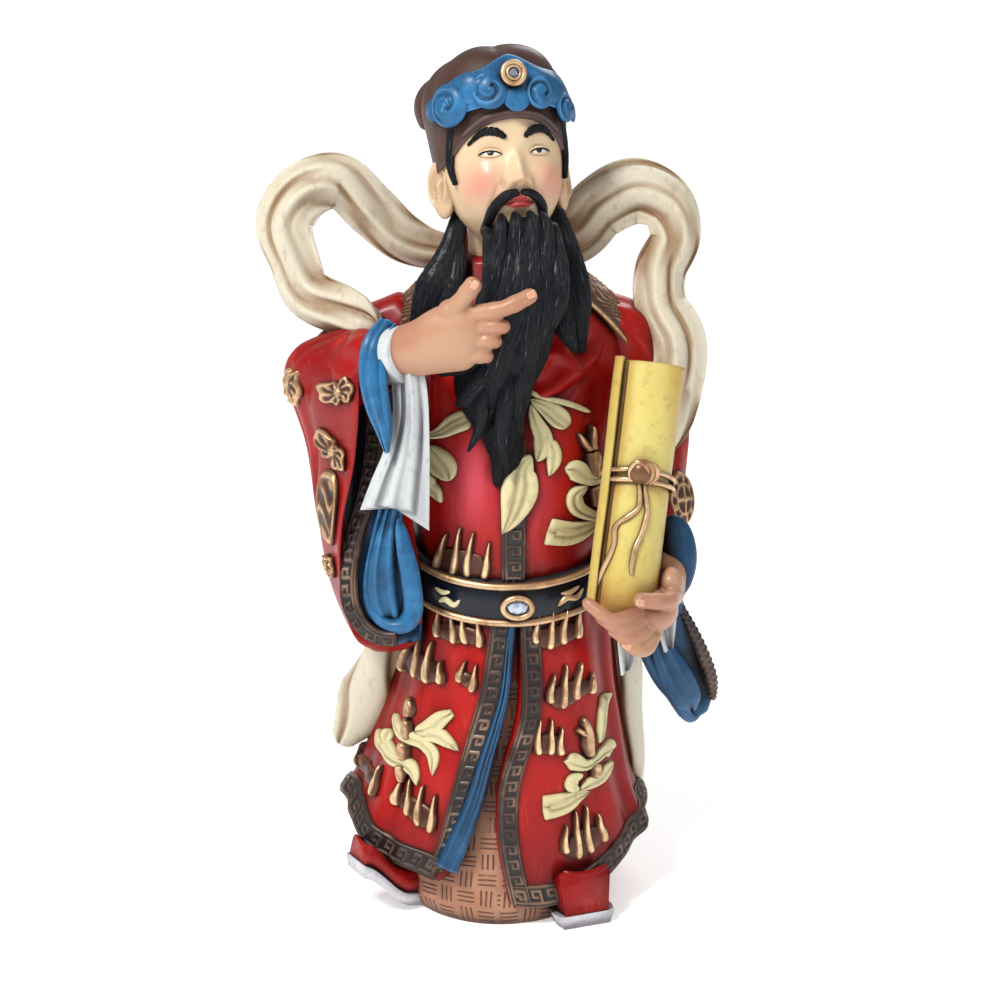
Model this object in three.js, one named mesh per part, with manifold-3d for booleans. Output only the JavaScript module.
// A painted cast figure of a court official, about 300 mm tall.
// The figure stands in a wide robe, with one hand in its long beard and a tied scroll in the other,
// and a celestial scarf rises behind the shoulders in two open loops.
// The figure is one casting. The clear stones on the cap and the belt are set into it as pieces of their own.
// Millimetres, +Z up, the front faces -Y, and the origin is on the underside below the body.
import * as THREE from "three";
import { mergeVertices } from "three/addons/utils/BufferGeometryUtils.js";
import Module from "manifold-3d";

const wasm = await Module();
wasm.setup();

// Driving dimensions
const SETTING_GAP = 0.3;
const BAND_RELIEF = 1.2;
const BAND_WIDTH = 7.6;
const FINGER_RADIUS = 2.3;

// Robe sections from the floor up: height, centre across, centre back, half width, half depth
const ROBE = [
  [8, -2, -4, 55.5, 44],
  [28, -2, -3.5, 55, 43.5],
  [45, -1, -2.5, 49, 42],
  [66, 1, -1.5, 43.5, 40],
  [85, 2.5, -1, 39.5, 37.5],
  [108, 3, 0, 36.5, 34.5],
  [124, 3, 0, 35, 33],
];
// Chest sections in the same order
const CHEST = [
  [104, 3, 0, 34, 31],
  [124, 3, 0, 34, 32],
  [150, 4, 0, 36, 32],
  [175, 5, 1, 40, 30],
  [198, 4, 2, 42, 26],
  [210, 3, 2, 38, 23],
  [220, 2, 2, 29, 19],
  [229, 1, 1, 18, 15],
  [240, 1, 0, 12, 12],
];
// Underskirt that stands on the floor
const UNDERSKIRT = [
  [0, 0, -5, 37, 42],
  [6, 0, -5, 41, 41.5],
  [25, 1, -4, 42, 39.5],
  [60, 2, -2, 38, 35.5],
  [100, 3, 0, 31, 28],
];
// Height of the robe's hem by degrees round from the front, and where its two front edges run by height
const HEM = [
  [-180, 12],
  [-130, 20],
  [-90, 33],
  [-65, 28],
  [-45, 22],
  [-25, 18.5],
  [5, 9],
  [28, 9],
  [55, 20],
  [90, 29],
  [130, 20],
  [180, 12],
];
const LEFT_EDGE = [
  [18, -21],
  [33, -14.8],
  [48, -10.4],
  [70, -3.1],
  [85, 1],
  [106, 4.1],
  [124, 4.5],
];
const RIGHT_EDGE = [
  [8, 4],
  [26, 0.3],
  [40, -1],
  [54, 0.3],
  [76, 6.9],
  [106, 6.8],
  [124, 6.4],
];

// Belt: height at the front, slope towards the back, and its profile as rise and relief from the lower edge up
const BELT_HEIGHT = 114;
const BELT_SLOPE = 0.26;
const BELT = [
  [-7, 3.4],
  [-4.6, 3.4],
  [-3.9, 2],
  [4.6, 2],
  [5.3, 3.4],
  [8, 3.4],
];

// Hanging sleeve of the raised arm from its foot up:
// height, centre across, centre back, half length, half thickness and the way its mouth faces in degrees
const RAISED_SLEEVE = [
  [94.5, -38.5, -22, 5, 5, -75],
  [99, -40, -21, 10.5, 10.5, -75],
  [108, -42, -20, 14.5, 13, -75],
  [123, -44.5, -19, 17, 14, -70],
  [143, -48, -18, 20, 13.5, -58],
  [164, -47.5, -17, 25, 14, -50],
  [187, -48, -16.5, 33, 16.5, -46],
  [199, -47, -18, 25, 14, -46],
  [206, -44, -19, 12, 6, -46],
];

// The scarf's two loops, from behind the neck to where each falls on a sleeve
const SCARF_LEFT = [
  [5, 17, 226],
  [-20, 15, 228],
  [-33.5, 13, 233],
  [-44.3, 13, 243],
  [-55.4, 12, 253.5],
  [-67.5, 10, 250.5],
  [-74.3, 8, 239.5],
  [-71, 5, 227],
  [-66, 0, 216],
  [-53, -8, 210.5],
  [-41, -16, 206],
];
const SCARF_LEFT_HALF = [6, 6.5, 8.5, 9.6, 9.6, 10.2, 10.8, 9.6, 9.8, 9.5, 8];
const SCARF_RIGHT = [
  [-5, 17, 226],
  [24, 15, 232.5],
  [34.8, 13, 243.5],
  [47.2, 12, 249.5],
  [58.2, 10, 245],
  [61.2, 8, 234],
  [56, 6, 223],
  [55.5, 1, 212],
  [61, -7, 200],
  [60.5, -13, 184],
  [57.5, -15.5, 163],
];
const SCARF_RIGHT_HALF = [7, 9.5, 11, 11.5, 10, 9, 9.2, 9.2, 9.6, 8.6, 5.5];

const HEAD_CENTRE = [0.5, -5, 261.5];
const HEAD_TURN = { yaw: 14, pitch: -17, roll: -2 };
// Cap rim height in the head's own frame by degrees round from the face, and the height of its top
const CAP_RIM = [
  [0, 10.8],
  [22, 9.6],
  [42, 5.6],
  [62, 0.6],
  [80, -1.4],
  [98, -2.8],
  [125, -9],
  [180, -14],
];
const CAP_TOP = 38;

const SCROLL_FOOT = [40.5, -51, 116];
const SCROLL_HEAD = [50.5, -27, 196];
const SCROLL_RADIUS = 11.3;
const CORD_SHARE = 0.55;

const CAP_STONE = { across: 1.45, high: 1.45, depth: 1.6 };
const BELT_STONE = { across: 3.7, high: 2.3, depth: 1.8 };

const rad = THREE.MathUtils.degToRad;
const mix = (a, b, t) => a + (b - a) * t;
const clamp = THREE.MathUtils.clamp;
const ease = (t) => t * t * (3 - 2 * t);
const vec = (p) => new THREE.Vector3(...p);

// Value number `column` of rows that are sorted by their first value, on a smooth curve through the rows
function along(rows, at, column = 1) {
  const x = clamp(at, rows[0][0], rows.at(-1)[0]);
  let i = 0;
  while (i < rows.length - 2 && x > rows[i + 1][0]) i++;
  const slope = (j) => {
    const a = rows[Math.max(j - 1, 0)];
    const b = rows[Math.min(j + 1, rows.length - 1)];
    return (b[column] - a[column]) / (b[0] - a[0]);
  };
  const span = rows[i + 1][0] - rows[i][0];
  const t = (x - rows[i][0]) / span;
  return (
    rows[i][column] * (1 + 2 * t) * (1 - t) ** 2 +
    slope(i) * span * t * (1 - t) ** 2 +
    rows[i + 1][column] * t * t * (3 - 2 * t) +
    slope(i + 1) * span * t * t * (t - 1)
  );
}

// A list of values spread evenly over 0 to 1, read on the same smooth curve
const spread = (values, t) =>
  along(
    values.map((v, i) => [i / (values.length - 1), v]),
    t,
  );

// A three.js geometry whose points are replaced, made a solid with its faces pointing out
function solid(geometry, place) {
  const position = geometry.attributes.position;
  for (let i = 0; i < position.count; i++)
    position.setXYZ(i, ...place(new THREE.Vector3().fromBufferAttribute(position, i)));
  geometry.deleteAttribute("normal");
  geometry.deleteAttribute("uv");
  const merged = mergeVertices(geometry, 1e-3);
  const corners = merged.index.array;
  const points = merged.attributes.position.array;
  const at = (k) => new THREE.Vector3(points[3 * k], points[3 * k + 1], points[3 * k + 2]);
  let volume = 0;
  for (let i = 0; i < corners.length; i += 3)
    volume += at(corners[i]).dot(at(corners[i + 1]).cross(at(corners[i + 2])));
  const turned = volume < 0;
  const triVerts = new Uint32Array(corners.length);
  for (let i = 0; i < corners.length; i += 3) {
    triVerts[i] = corners[i];
    triVerts[i + 1] = corners[i + (turned ? 2 : 1)];
    triVerts[i + 2] = corners[i + (turned ? 1 : 2)];
  }
  return new wasm.Manifold(new wasm.Mesh({ numProp: 3, vertProperties: points, triVerts }));
}

const turnOf = (y, x) => (Math.round(Math.atan2(y, x) * 1e6) / 1e6 + 2 * Math.PI) % (2 * Math.PI);

// Rings stacked from v = 0 to v = 1: place(turn, v, share) gives the point, with share 0 on the closing middle
const stacked = (sides, steps, place) =>
  solid(new THREE.CylinderGeometry(1, 1, 1, sides, steps), (p) =>
    place(turnOf(p.z, p.x), p.y + 0.5, Math.hypot(p.x, p.z) > 0.5 ? 1 : 0),
  );

// A section carried along a smooth path: section(turn, t) gives [across, out], out is the side that faces `facing`
function carried(path, sides, steps, facing, section) {
  const curve = new THREE.CatmullRomCurve3(path.map(vec), false, "catmullrom", 0.5);
  return stacked(sides, steps, (turn, t, share) => {
    const tangent = curve.getTangent(t);
    const out = vec(typeof facing === "function" ? facing(t) : facing);
    out.addScaledVector(tangent, -out.dot(tangent)).normalize();
    const across = tangent.clone().cross(out);
    const [a, b] = share ? section(turn, t) : [0, 0];
    return curve.getPoint(t).addScaledVector(across, a).addScaledVector(out, b);
  });
}

// An oval section whose half sizes follow two lists along the path
const oval = (halfAcross, halfOut) => (turn, t) => [
  Math.cos(turn) * spread(halfAcross, t),
  Math.sin(turn) * spread(halfOut, t),
];

// A thick sheet: place(s, t, w) with w from 0 on its inner face to 1 on its outer face
const sheet = (across, down, place) =>
  solid(new THREE.BoxGeometry(1, 1, 1, across, down, 1), (p) => place(p.x + 0.5, p.y + 0.5, p.z + 0.5));

const egg = (centre, radii, wide, tall) =>
  solid(new THREE.SphereGeometry(1, wide, tall), (p) =>
    vec(centre).add(new THREE.Vector3(p.x * radii[0], p.z * radii[1], p.y * radii[2])),
  );

const joined = (pieces) => pieces.reduce((a, b) => a.add(b));

// A point on a body section table: degrees round from the front, height and distance off the surface
function onBody(rows, degrees, height, lift = 0) {
  const a = rad(degrees);
  return new THREE.Vector3(
    along(rows, height, 1) + Math.sin(a) * (along(rows, height, 3) + lift),
    along(rows, height, 2) - Math.cos(a) * (along(rows, height, 4) + lift),
    height,
  );
}

// Degrees round the robe at which its surface is at `across` on the front
const degreesAt = (rows, across, height) =>
  THREE.MathUtils.radToDeg(
    Math.asin(clamp((across - along(rows, height, 1)) / along(rows, height, 3), -1, 1)),
  );

function rings(rows, sides, steps, relief = () => 0) {
  return stacked(sides, steps, (turn, v, share) => {
    const height = mix(rows[0][0], rows.at(-1)[0], v);
    const degrees = THREE.MathUtils.radToDeg(turn);
    return share
      ? onBody(rows, degrees, height, relief(degrees, height))
      : new THREE.Vector3(along(rows, height, 1), along(rows, height, 2), height);
  });
}

// Soft upright folds that grow towards the back, where the cloth isn't drawn tight
const folds = (degrees, count, depth) =>
  depth * Math.sin(rad(degrees) * count) * ease(clamp((Math.abs(((degrees + 180) % 360) - 180) - 60) / 60, 0, 1));

const belly = (degrees, height) =>
  3 * Math.max(0, Math.cos(rad(degrees))) * Math.exp(-(((height - 145) / 22) ** 2)) + folds(degrees, 5, 1.2);
const onChest = (degrees, height, lift = 0) => onBody(CHEST, degrees, height, belly(degrees, height) + lift);
const onRobe = (degrees, height, lift = 0) => onBody(ROBE, degrees, height, robeFolds(degrees, height) + lift);

const body = () => [rings(UNDERSKIRT, 18, 2), rings(CHEST, 18, 5, belly)];

// The robe below the belt is one wall from its right front edge round the back to its left one.
// Raised bands run along both front edges and round the hem, as columns and rows of the wall itself.
const ROBE_COLUMNS = 22;
const ROBE_LEVELS = [0, BAND_WIDTH + 1, BAND_WIDTH + 1.6, 24, 46, 72];
const hemAt = (degrees) => along(HEM, ((degrees + 180) % 360) - 180);
const robeFolds = (degrees, height) => folds(degrees, 7, 1.5 * ease(clamp((112 - height) / 80, 0, 1)));
const chestAt = ([across, height], lift) => onChest(degreesAt(CHEST, across, height), height, lift);
const robeAt = ([across, height], lift) => onRobe(degreesAt(ROBE, across, height), height, lift);

function robeDegrees(column, height) {
  const at = (across) => degreesAt(ROBE, across, height);
  const right = along(RIGHT_EDGE, height);
  const left = along(LEFT_EDGE, height);
  const narrow = BAND_WIDTH * mix(0.6, 1, clamp((height - 20) / 50, 0, 1));
  const starts = [at(right), at(right + BAND_WIDTH), at(right + BAND_WIDTH + 0.6)];
  const ends = [360 + at(left - narrow - 0.6), 360 + at(left - narrow), 360 + at(left)];
  const last = ROBE_COLUMNS - 1;
  if (column < 3) return starts[column];
  if (column > last - 3) return ends[column - last + 2];
  return mix(starts[2], ends[0], (column - 2) / (last - 4));
}

function robe() {
  const sides = ROBE_COLUMNS + 2;
  const last = ROBE_COLUMNS - 1;
  return stacked(sides, ROBE_LEVELS.length, (turn, v, share) => {
    const column = Math.round((turn / (2 * Math.PI)) * sides) % sides;
    const row = Math.round(v * ROBE_LEVELS.length);
    const shown = Math.min(column, last);
    const edge = column > last ? (column === last + 1 ? last : 0) : shown;
    const foot = hemAt(robeDegrees(edge, 20));
    const underBelt = BELT_HEIGHT + 3 + BELT_SLOPE * 33 * (1 - Math.cos(rad(robeDegrees(edge, 118))));
    const height = row === ROBE_LEVELS.length ? underBelt : foot + ROBE_LEVELS[row];
    const degrees = robeDegrees(edge, height);
    if (!share) return new THREE.Vector3(2, -2, row ? 118 : 20);
    if (column > last) return onBody(ROBE, degrees, height, -7);
    const onRight = column < 2 && height < 80;
    const onLeft = column > last - 2;
    const raised = row < 2 || onRight || onLeft ? BAND_RELIEF : 0;
    return onRobe(degrees, height, raised);
  });
}

// The band of the chest's front edge, and the lining that turns out along the robe's left front edge
function edges() {
  const placket = sheet(1, 2, (s, t, w) => {
    const height = mix(118, 170, t);
    return chestAt([mix(0.5, 8.5, s), height], w ? BAND_RELIEF : -2);
  });
  const lining = carried(
    [
      [5, 109],
      [2.2, 84],
      [-4, 62],
      [-8.2, 48],
      [-13, 35],
      [-19.6, 21],
    ].map((place) => robeAt(place, 0.8).toArray()),
    5,
    6,
    [0, -1, 0],
    oval([1.4, 1.6, 2, 2.5, 3.3, 3.6], [1.6, 2, 2.4, 2.6, 2.8, 2.8]),
  );
  return [placket, lining];
}

function belt() {
  return stacked(20, BELT.length - 1, (turn, v, share) => {
    const [rise, relief] = BELT[Math.round(v * (BELT.length - 1))];
    const point = onBody(CHEST, THREE.MathUtils.radToDeg(turn), 118, relief + 2.4);
    const level = BELT_HEIGHT + rise;
    return share
      ? point.setZ(level + BELT_SLOPE * (point.y + 36))
      : new THREE.Vector3(3, 0, level + BELT_SLOPE * 36);
  });
}

// A point on the raised arm's sleeve: its section is a rounded oblong, hollowed at the mouth
function onRaisedSleeve(turn, height, lift = 0) {
  const [cx, cy, long, thick, facing] = [1, 2, 3, 4, 5].map((i) => along(RAISED_SLEEVE, height, i));
  const axis = new THREE.Vector2(Math.cos(rad(facing)), Math.sin(rad(facing)));
  const full = (value) => Math.sign(value) * Math.abs(value) ** 0.75;
  const open = ease(clamp((height - 97) / 12, 0, 1)) * ease(clamp((200 - height) / 14, 0, 1));
  const hollow = open * ease(clamp(Math.cos(turn) * 2.4 - 1.15, 0, 1));
  const pleat = 0.9 * Math.sin(4 * turn + height / 14) * clamp(0.4 - Math.cos(turn), 0, 1);
  const rim = 1.8 * Math.exp(-(((Math.abs(Math.cos(turn)) - 0.5) / 0.2) ** 2)) * (Math.cos(turn) > 0 ? 1 : 0);
  const a = full(Math.cos(turn)) * (long + lift) - hollow * long * 0.95;
  const b = full(Math.sin(turn)) * (thick + lift + pleat + rim);
  return new THREE.Vector3(cx + a * axis.x - b * axis.y, cy + a * axis.y + b * axis.x, height);
}

function raisedSleeve() {
  const [bottom, top] = [RAISED_SLEEVE[0][0], RAISED_SLEEVE.at(-1)[0]];
  const bag = stacked(18, 7, (turn, v, share) => {
    const height = mix(bottom, top, v);
    return share
      ? onRaisedSleeve(turn, height)
      : new THREE.Vector3(along(RAISED_SLEEVE, height, 1), along(RAISED_SLEEVE, height, 2), height);
  });
  const shoulder = carried(
    [
      [-26, 3, 208],
      [-44, 2, 198],
      [-57, -2, 186],
      [-57, -14, 180],
    ],
    8,
    3,
    [0, 0, 1],
    oval([12, 14, 14, 11], [12, 13, 14, 11]),
  );
  const forearm = carried(
    [
      [-52, -18, 190],
      [-44, -30, 197],
      [-37, -37, 200],
    ],
    8,
    1,
    [0, 0, 1],
    oval([10, 10.5, 9], [10, 11, 9.5]),
  );
  return [bag, shoulder, forearm];
}

// Blue turned-back cuff and the white undersleeve that hangs from the raised wrist in two points
function raisedCuffs() {
  const blue = carried(
    [
      [-37, -36, 212],
      [-41, -41, 205],
      [-41.5, -44, 196],
      [-40, -47, 187],
      [-38, -48, 179],
      [-37, -48.5, 171],
    ],
    5,
    5,
    [-0.3, -1, 0],
    oval([3, 4.2, 4.6, 4.2, 3, 0.6], [2.6, 4, 4.2, 4, 3, 1.5]),
  );
  const ring = carried(
    [
      [-39, -35, 200.5],
      [-30.5, -42, 202.5],
    ],
    9,
    1,
    [0, 0, 1],
    oval([9, 9], [9.5, 9.5]),
  );
  const tips = [
    [0, 150],
    [0.5, 156],
    [1, 143],
  ];
  const white = sheet(2, 3, (s, t, w) => {
    const height = mix(along(tips, s), 209, t);
    const fall = 1 - t;
    const ridge = 1 - Math.abs(s - 0.5) * 2;
    const left = mix(mix(-36, -38, ease(clamp(t * 3, 0, 1))), -47, clamp(1 - t * 2.4, 0, 1));
    return new THREE.Vector3(
      mix(left, mix(-29, -23.5, clamp(fall * 1.6, 0, 1)), s),
      mix(-43, -44, s) - ridge * mix(2.5, 6, fall) + (w ? 0 : 4.5),
      height,
    );
  });
  return [blue, ring, white];
}

// A finger or thumb: a tapered tube with a round tip
const finger = (path, radius = FINGER_RADIUS) =>
  carried(path, 5, 2, [0.1, -1, 0.2], (turn, t) => {
    const r = radius * mix(1.12, 0.9, t) * (t > 0.9 ? 0.55 : 1);
    return [Math.cos(turn) * r, Math.sin(turn) * r];
  });

function raisedHand() {
  return [
    carried(
      [
        [-36, -38, 202],
        [-26, -44, 205],
        [-14, -48.5, 209.5],
        [-3.5, -50, 210.5],
      ],
      9,
      4,
      [0, -1, 0],
      oval([8, 9.2, 11.5, 8.5], [8, 7.6, 7, 5.4]),
    ),
    finger(
      [
        [-17, -49, 216],
        [-12, -51.5, 222],
        [-6.5, -53, 229.5],
      ],
      2.9,
    ),
    finger(
      [
        [-9, -51, 217.5],
        [1, -54, 220],
        [11.5, -52, 224.5],
      ],
      2.5,
    ),
    ...[0, 1, 2].map((i) =>
      finger([
        [-10 - i, -50.5, 213 - 4.6 * i],
        [0.5 - 2.6 * i, -53 + 0.8 * i, 213.6 - 4.9 * i],
        [-0.5 - 2.6 * i, -46.5, 212.6 - 4.9 * i],
      ]),
    ),
  ];
}

// The lowered arm: its sleeve, the bag that swings out below the wrist, and the hand under the scroll
function loweredArm() {
  const sleeve = carried(
    [
      [30, 3, 207],
      [46, 3, 197],
      [53, 2, 178],
      [53.5, -2, 158],
      [52, -14, 138],
      [53, -34, 127],
    ],
    11,
    6,
    [0, -1, 0.2],
    (turn, t) => {
      const pleat = 1 + 0.05 * Math.sin(4 * turn + 9 * t);
      return [
        Math.cos(turn) * spread([11, 13, 12.5, 12.5, 12, 8.5], t) * pleat,
        Math.sin(turn) * spread([11, 14, 14, 14, 12, 9], t) * pleat,
      ];
    },
  );
  const bag = carried(
    [
      [53, -34, 127],
      [54.5, -33, 110],
      [60, -31, 96],
      [65.5, -28, 84],
      [68, -26, 72],
    ],
    12,
    5,
    [0.1, -1, 0.3],
    (turn, t) => {
      const open = ease(clamp(t / 0.3, 0, 1)) * ease(clamp((1 - t) / 0.2, 0, 1));
      const hollow = 4.5 * open * ease(clamp(Math.sin(turn) * 2 - 0.9, 0, 1));
      return [
        Math.cos(turn) * spread([7.5, 9, 10.8, 10.8, 5.5], t),
        Math.sin(turn) * spread([8, 8, 7, 6.5, 4], t) - hollow,
      ];
    },
  );
  const undersleeve = sheet(
    1,
    2,
    (s, t, w) => new THREE.Vector3(mix(41, 50, s), -44 - (w ? 5 : 0), mix(mix(100, 106, s), 116, t)),
  );
  return [sleeve, bag, undersleeve];
}

function loweredHand() {
  const fingers = [0, 1, 2, 3].map((i) => [
    [49 + i, -55, 119 - 3.2 * i],
    [37 + 3.4 * i, -66 + 0.4 * i, 119.5 - 4.2 * i],
    [27 + 4.2 * i, -63 - i, 125 - 4.9 * i],
  ]);
  return [
    egg([50.5, -51, 117], [9, 11, 8], 8, 5),
    carried(
      [
        [57, -33, 129],
        [55, -45, 121],
      ],
      6,
      1,
      [0, 0, 1],
      oval([7, 7], [6.5, 6.5]),
    ),
    ...fingers.map((path) => finger(path, 2.5)),
    finger(
      [
        [58.5, -49, 122],
        [54, -61, 124],
        [43.5, -66, 126],
      ],
      2.9,
    ),
  ];
}

// The celestial scarf: a folded ribbon in two loops, and its ends that hang beside the robe
function scarf() {
  const ribbon = (path, half, facing) =>
    carried(path, 7, 11, facing, (turn, t) => [
      Math.cos(turn) * spread(half, t),
      Math.sin(turn) * 4.6 + 1.3 * Math.cos(3 * turn + 3 * t),
    ]);
  const tail = (path, across, out) => carried(path, 6, 4, [0, -1, 0], oval(across, out));
  return [
    ribbon(SCARF_LEFT, SCARF_LEFT_HALF, (t) => [-0.25, -1, 0.35 - 0.5 * t]),
    ribbon(SCARF_RIGHT, SCARF_RIGHT_HALF, (t) => [0.15, -1, 0.25 - 0.3 * t]),
    tail(
      [
        [-36, 2, 108],
        [-42, 0, 84],
        [-48, 0, 66],
        [-59, 0, 49],
      ],
      [7, 8.5, 12, 3.5],
      [7, 7, 6, 3],
    ),
    tail(
      [
        [41, 4, 110],
        [45, 3, 86],
        [45.5, 4, 62],
        [49, 6, 40],
        [49, 8, 17],
      ],
      [6, 7, 7, 5, 4.5],
      [8, 8, 8, 7, 5],
    ),
  ];
}

// Everything from the neck up is made in the head's own frame, with the face towards -Y, and then turned
const headMatrix = new THREE.Matrix4()
  .makeRotationFromEuler(new THREE.Euler(rad(HEAD_TURN.pitch), rad(HEAD_TURN.roll), rad(HEAD_TURN.yaw), "ZYX"))
  .setPosition(vec(HEAD_CENTRE));
const inHead = (p) => vec(p).applyMatrix4(headMatrix).toArray();

// Features sit in even thirds: brow, foot of the nose and chin
function head() {
  const nose = carried(
    [
      [0, -19.5, 1],
      [0, -21.5, -6],
      [0, -23.2, -11.5],
    ],
    5,
    2,
    [0, -1, 0],
    oval([2, 2.6, 4.2], [2, 3, 2.6]),
  );
  const skull = solid(new THREE.SphereGeometry(1, 12, 8), (p) => {
    const low = clamp(-p.y, 0, 1);
    const full = ((1 - Math.abs(p.y) ** 2.7) ** (1 / 2.7) || 0) / Math.max(Math.hypot(p.x, p.z), 1e-3);
    const wide = 20.5 * (1 - 0.22 * low ** 2) * full;
    const deep = (p.z < 0 ? 21.5 - low : mix(25, 13, low)) * full;
    return new THREE.Vector3(p.x * wide, p.z * deep, p.y * 28 + 0.5);
  });
  const lips = egg([0, -19, -17.4], [5.4, 2.6, 2], 6, 3);
  const side = (sign) => [
    egg([sign * 20.4, 3, -7.5], [3, 5.4, 10.2], 5, 4),
    carried(
      [
        [sign * 3.4, -20.8, 2.6],
        [sign * 9.2, -19.2, 6],
        [sign * 15.8, -14, 2.6],
      ],
      3,
      3,
      [0, -1, 0],
      oval([0.9, 1.7, 0.5], [1.3, 1.6, 1]),
    ),
    carried(
      [
        [0, -20, -13.8],
        [sign * 6, -19, -15.2],
        [sign * 10, -16.4, -21],
        [sign * 11, -15, -29],
      ],
      3,
      3,
      [0, -1, 0],
      oval([1.2, 1.6, 1.9, 0.9], [1.2, 1.6, 1.9, 1.2]),
    ),
  ];
  return [
    skull,
    nose,
    lips,
    ...side(1),
    ...side(-1),
  ];
}

function capAndBand() {
  const crown = stacked(18, 4, (turn, v, share) => {
    const degrees = THREE.MathUtils.radToDeg(turn);
    const fromFace = Math.abs(degrees > 180 ? degrees - 360 : degrees);
    const swell = Math.sin(Math.min(v * 1.5, 1) * Math.PI * 0.5);
    const shut = Math.sqrt(Math.max(0, 1 - v ** 5));
    const height = mix(along(CAP_RIM, fromFace), CAP_TOP, v ** 0.9);
    const round = shut * (1 + 0.04 * v * Math.cos(3 * turn));
    return new THREE.Vector3(
      share * Math.sin(turn) * mix(22, 24.5, swell) * round,
      1 - share * Math.cos(turn) * mix(24, 25.5, swell) * round,
      share ? height : mix(0, CAP_TOP, v),
    );
  });
  const backRoll = carried(
    [
      [-19, 12, 14],
      [-15, 16, 25],
      [4, 19, 30],
      [20, 14, 16],
    ],
    7,
    4,
    [0, 1, 0.4],
    oval([4, 8.5, 8, 3], [4, 8.5, 8, 3]),
  );
  const cloud = sheet(12, 1, (s, t, w) => {
    const degrees = mix(-80, 80, s);
    const a = rad(degrees);
    const lower = 12.6 - 4.5 * Math.sin(rad(Math.abs(degrees) * 1.6)) ** 2 + 4 * Math.abs(degrees / 80) ** 6;
    const upper = 28.4 - 10 * Math.abs(degrees / 80) ** 2 + 1.2 * Math.cos(rad(degrees * 9));
    const height = mix(lower, upper, t);
    const inward = 4 * clamp((height - 22) / 9, 0, 1) ** 2;
    const reach = w ? 2.2 - inward : -4 - inward;
    return new THREE.Vector3(Math.sin(a) * (24.5 + reach), 1 - Math.cos(a) * (25.5 + reach), height);
  });
  const boss = carried(
    [
      [0, -20, 22],
      [0, -29, 23],
    ],
    8,
    1,
    [0, 0, 1],
    oval([4.4, 4], [4.4, 4]),
  );
  return [crown, backRoll, cloud, boss];
}

// The beard falls in locks from the chin to a point below the hand, with a longer lock from each cheek
function beard() {
  const mass = carried(
    [
      [8, -29, 242],
      [7.5, -32, 232],
      [5.5, -33, 218],
      [3, -32, 204],
      [-3, -32, 190],
      [0.5, -33, 175],
      [2, -34, 166],
      [-1.7, -35, 156],
    ],
    8,
    5,
    [0, -1, 0.1],
    oval([6, 9.5, 12.4, 13.5, 13.5, 8.5, 6.5, 1], [5, 7, 7.6, 8, 7, 5, 4, 1]),
  );
  const lock = (path, half) =>
    carried(path, 4, 3, [0, -1, 0], oval(half, half.map((h) => h * 0.55 + 0.8)));
  return [
    mass,
    ...[
      [[inHead([-10, -15, -25]), [-2, -36.5, 222], [-8, -38, 210], [-12, -38, 203]], [2.4, 4.2, 4.4, 1]],
      [[[5, -33, 239], [1, -40, 222], [-6, -39.5, 204], [-20.5, -36, 194.5]], [3, 4.6, 6, 1]],
      [[[8, -34, 239], [5.5, -41, 220], [-1, -40.5, 196], [-5.5, -37.5, 175]], [3, 4.6, 5.6, 1.2]],
      [[[11, -34, 238], [10, -40.5, 220], [6, -39.5, 192], [-1.5, -36.5, 157]], [3, 4.4, 5, 1]],
      [[inHead([10.5, -15, -24]), [18.5, -34.5, 230], [18, -38, 218], [14, -38, 206]], [2.4, 4, 4.4, 0.8]],
      [[[-13, -7, 246], [-16.5, -13, 232], [-21, -17, 219], [-27, -17, 206]], [3, 5, 7.4, 4]],
      [[[18, -7, 247], [22, -15, 232], [25, -21, 216], [28, -22, 199]], [3, 4.8, 5.8, 1]],
    ].map(([path, half]) => lock(path, half)),
  ];
}

// Shoulder capes with a turned edge, and the lapel folds that fall from them
function collar() {
  const cape = (sign) =>
    sheet(3, 1, (s, t, w) => {
      const degrees = sign * mix(24, 98, s);
      const height = mix(196 + 9 * Math.abs(s - 0.5), 222, t);
      return onChest(degrees, height, w ? 3 : -3);
    });
  const lapel = (places) =>
    carried(
      places.map(([degrees, height]) => onChest(degrees, height, 2).toArray()),
      4,
      3,
      [0, -1, 0.3],
      oval([3, 4, 3.6, 2.4], [2.4, 3.2, 2.8, 2]),
    );
  return [
    cape(-1),
    cape(1),
    lapel([
      [74, 217],
      [56, 205],
      [38, 194],
      [15, 188],
    ]),
  ];
}

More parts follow.
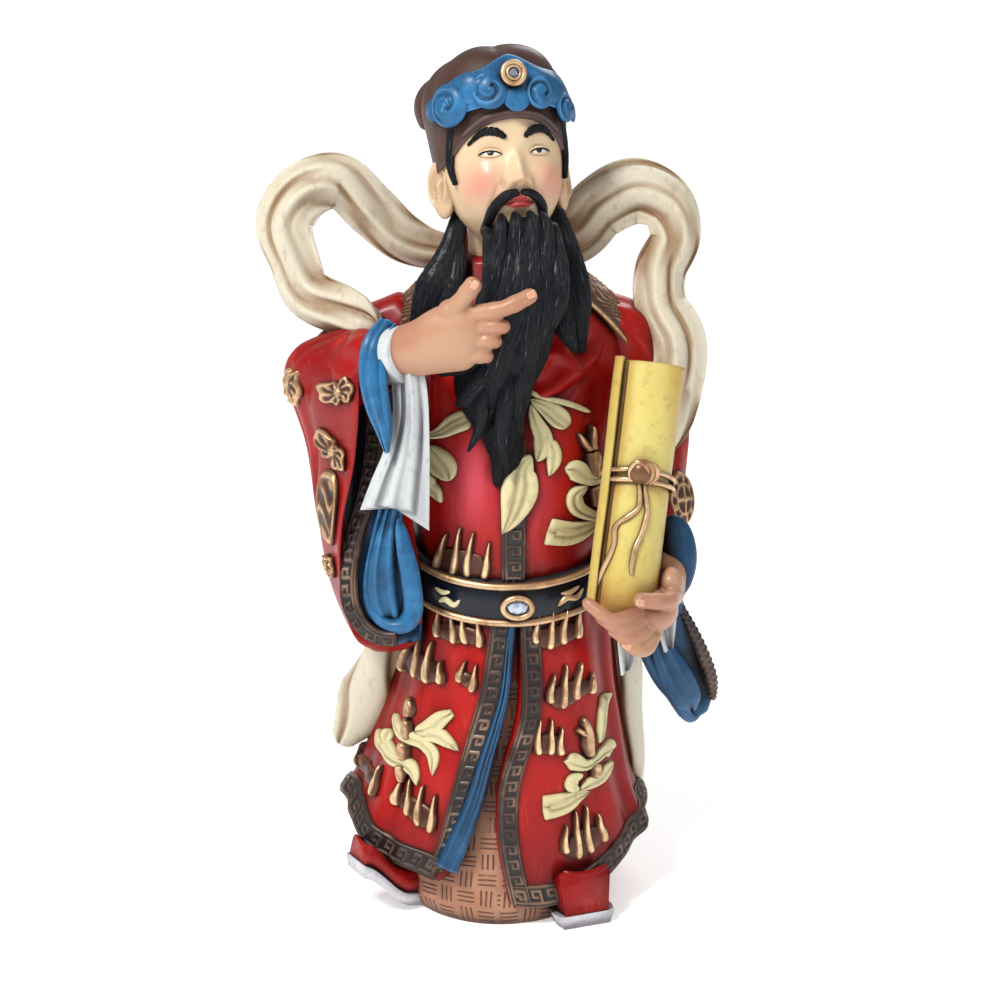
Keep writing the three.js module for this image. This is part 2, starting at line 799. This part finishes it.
// A scroll of paper with its outer edge lifted, tied round the middle with a double cord and a knot
function scroll() {
  const foot = vec(SCROLL_FOOT);
  const top = vec(SCROLL_HEAD);
  const axis = top.clone().sub(foot).normalize();
  const front = new THREE.Vector3(0, -1, 0).addScaledVector(axis, axis.y).normalize();
  const right = new THREE.Vector3().crossVectors(axis, front);
  const onScroll = (share, degrees, lift) =>
    foot
      .clone()
      .lerp(top, share)
      .addScaledVector(front, Math.cos(rad(degrees)) * (SCROLL_RADIUS + lift))
      .addScaledVector(right, -Math.sin(rad(degrees)) * (SCROLL_RADIUS + lift));
  const roll = stacked(12, 1, (turn, v, share) =>
    onScroll(v, THREE.MathUtils.radToDeg(turn), share ? 0 : -SCROLL_RADIUS),
  );
  const flap = sheet(1, 1, (s, t, w) => onScroll(t, mix(88, 50, s), (w ? 1.4 : -1.6) + 1.4 * (1 - s)));
  const cord = (places, steps, radius, lift = 0.8) =>
    carried(
      places.map(([share, degrees]) => onScroll(share, degrees, lift).toArray()),
      3,
      steps,
      [0, -1, 0.1],
      oval(
        places.map(() => radius),
        places.map(() => radius),
      ),
    );
  const binding = sheet(1, 5, (s, t, w) =>
    onScroll(CORD_SHARE - 0.055 + 0.06 * s + 0.025 * Math.sin(t * Math.PI), mix(-100, 100, t), w ? 1.5 : -1.5),
  );
  return [
    roll,
    flap,
    binding,
    egg(onScroll(CORD_SHARE + 0.01, 0, 1.2).toArray(), [5, 3.6, 4.8], 6, 4),
    cord(
      [
        [CORD_SHARE - 0.04, 2],
        [0.42, 0],
        [0.34, 22],
        [0.22, 34],
        [0.09, 50],
      ],
      4,
      1.3,
    ),
    cord(
      [
        [CORD_SHARE - 0.04, -4],
        [0.42, -12],
        [0.3, -8],
        [0.17, -2],
      ],
      3,
      1.3,
    ),
  ];
}

// A court shoe with a thick sole and an upturned toe, pointing `turn` degrees off the front
function shoe({ centre, turn, length, half, lift, height, toe }) {
  const forward = new THREE.Vector3(Math.sin(rad(turn)), -Math.cos(rad(turn)), 0);
  const right = new THREE.Vector3(Math.cos(rad(turn)), Math.sin(rad(turn)), 0);
  const slab = (low, high, wide) =>
    sheet(2, 3, (s, t, w) => {
      const rise = lift * ease(clamp((t - 0.4) / 0.6, 0, 1));
      const side = (s - 0.5) * 2;
      const crown = w && high > 8 ? mix(height, toe, t) * (1 - 0.2 * side ** 2) : high;
      return vec(centre)
        .addScaledVector(forward, (t - 0.5) * length - (w && high > 8 ? 2.5 * t : 0))
        .addScaledVector(right, side * half * wide * mix(0.85, 1, t))
        .setZ((w ? crown : low) + rise);
    });
  return [slab(4, 14, 0.92), slab(0, 4.6, 1)];
}

const SHOES = [
  { centre: [25.5, -33.5, 0], turn: 20, length: 30, half: 11.6, lift: 0, height: 13, toe: 20 },
  { centre: [-39.5, -33, 0], turn: -58, length: 26, half: 8.5, lift: 17, height: 15, toe: 11 },
];

// Gold flame tongues: drops side by side, broad at the foot, that lie on the robe
function flames() {
  const groups = [
    [robeAt, -13.8, 99, 4, 11, -4],
    [robeAt, 18, 99, 4, 12, 0],
    [robeAt, -30, 86, 4, 12, -18],
    [robeAt, 27, 76, 4, 13, 8],
    [robeAt, 14.5, 57, 3, 12, -6],
    [robeAt, -27, 34, 4, 14, -8],
    [robeAt, 28, 18, 4, 16, 8],
    [chestAt, -12, 127, 4, 15, 14],
  ];
  return groups.flatMap(([surface, across, height, count, tall, lean]) =>
    Array.from({ length: count }, (_, i) => {
      const x = across + (i - (count - 1) / 2) * 4.3;
      const z = height + Math.abs(i - (count - 1) / 2) - 1;
      const points = [0, 0.4, 1].map((k) => {
        const up = z + k * tall;
        const side = x + k * tall * Math.tan(rad(lean));
        return surface([side, up], 0.3).toArray();
      });
      return carried(points, 3, 2, [0, -1, 0], oval([2.7, 2.3, 0.6], [1.6, 2.3, 0.7]));
    }),
  );
}

// Cream ribbon flourishes tied round a short bronze staff
function flourishes() {
  const leaf = (surface, line, half) =>
    carried(
      line.map((place) => surface(place, 0.6).toArray()),
      3,
      2,
      [0, -1, 0],
      oval(half, [1.6, 2.6, 1.6]),
    );
  const spray = (surface, x, z, leaves) =>
    leaves.map(([dx, dz, bend, wide]) =>
      leaf(
        surface,
        [
          [x + dx * 0.16, z + dz * 0.16],
          [x + dx * 0.55 + bend, z + dz * 0.55],
          [x + dx, z + dz],
        ],
        [wide * 0.8, wide * 1.3, wide * 0.75],
      ),
    );
  return [
    ...spray(robeAt, -30, 66, [
      [16, 6, 0, 3.4],
      [-13, -3, -2, 3.2],
      [7, -11, 3, 3],
      [-3, -15, -2, 3.2],
      [-2, 14, 0, 2],
    ]),
    ...spray(robeAt, 31, 58, [
      [7, 22, 3, 2],
      [-9, 3, -2, 3.2],
      [9, 5, 2, 3.4],
      [-14, -18, 3, 3.2],
      [6, -8, 2, 3],
    ]),
    ...spray(chestAt, 27, 157, [
      [9, 0, -2, 3.6],
      [-4, 7, -2, 3],
      [-5, -6, -2, 3],
      [-10, -21, 2, 3.4],
    ]),
    ...spray(chestAt, 9, 186, [
      [14, -4, 1, 3.6],
      [8, -24, 3, 3.2],
      [-7, -40, 6, 4.6],
    ]),
    ...spray(chestAt, -20, 169, [
      [11, 9, -1, 3.2],
      [4, -8, 3, 4],
      [6, -18, 1, 3.4],
    ]),
  ];
}

// Bronze emblems on the sleeves: bats on the upper cloth and round medallions at the edges
function emblems() {
  const emblem = (centre, radii) => egg(centre, radii, 6, 3);
  return [
    emblem([-56, -27, 187], [8, 4, 4]),
    emblem([-57, -27, 164], [7.5, 4, 4.6]),
    emblem([-70, -6, 184], [4, 4.5, 7.5]),
    emblem([-61, -16, 143], [4, 8, 11.5]),
    emblem([-55, -20, 119], [4.5, 6, 6.5]),
    emblem([61, -14, 147], [6, 5, 10]),
  ];
}

// Bezels that hold the stones, and a stone: a table over a girdle with a short back, seen from the front
function stoneAt(size, grow, place) {
  const profile = [
    [0.5, 1],
    [1, 0.1],
    [0.92, -0.3],
    [0.55, -0.75],
  ];
  return stacked(8, profile.length - 1, (turn, v, share) => {
    const [wide, out] = profile[Math.round(v * (profile.length - 1))];
    const across = share * Math.cos(turn) * wide * (size.across + grow);
    const up = share * Math.sin(turn) * wide * (size.high + grow);
    return vec(place).add(new THREE.Vector3(across, out * size.depth + Math.sign(out) * grow, up));
  });
}

const BELT_STONE_AT = [6, -38.8, 114.3];
const bezel = () =>
  carried(
    [
      [6, -33, 114.3],
      [6, -38.6, 114.3],
    ],
    8,
    1,
    [0, 0, 1],
    oval([5.6, 5.2], [4.2, 3.8]),
  );
const CAP_STONE_AT = inHead([0, -28.6, 23]);

// A solid as a three.js mesh with its colour and finish
function mesh(name, made, colour, roughness, metalness) {
  const data = made.getMesh();
  const geometry = new THREE.BufferGeometry();
  geometry.setAttribute("position", new THREE.BufferAttribute(data.vertProperties, 3));
  geometry.setIndex(new THREE.BufferAttribute(data.triVerts, 1));
  const material = new THREE.MeshStandardMaterial({ color: colour, roughness, metalness });
  const result = new THREE.Mesh(geometry, material);
  result.name = name;
  return result;
}

const casting = joined([
  ...body(),
  robe(),
  ...edges(),
  belt(),
  bezel(),
  ...raisedSleeve(),
  ...raisedCuffs(),
  ...raisedHand(),
  ...loweredArm(),
  ...loweredHand(),
  ...scarf(),
  joined([...head(), ...capAndBand()]).transform(headMatrix.elements),
  ...beard(),
  ...collar(),
  ...scroll(),
  ...SHOES.flatMap(shoe),
  ...flames(),
  ...flourishes(),
  ...emblems(),
]);

// Each stone sits in a seat that is a little larger than it is
const seats = [stoneAt(CAP_STONE, SETTING_GAP, CAP_STONE_AT), stoneAt(BELT_STONE, SETTING_GAP, BELT_STONE_AT)];
const seated = seats.reduce((a, b) => a.subtract(b), casting);

const group = new THREE.Group();
group.add(mesh("figure", seated, 0xb3201c, 0.35, 0));
group.add(mesh("cap_stone", stoneAt(CAP_STONE, 0, CAP_STONE_AT), 0xe8eaf0, 0.1, 0));
group.add(mesh("belt_stone", stoneAt(BELT_STONE, 0, BELT_STONE_AT), 0xe8eaf0, 0.1, 0));

export default group;
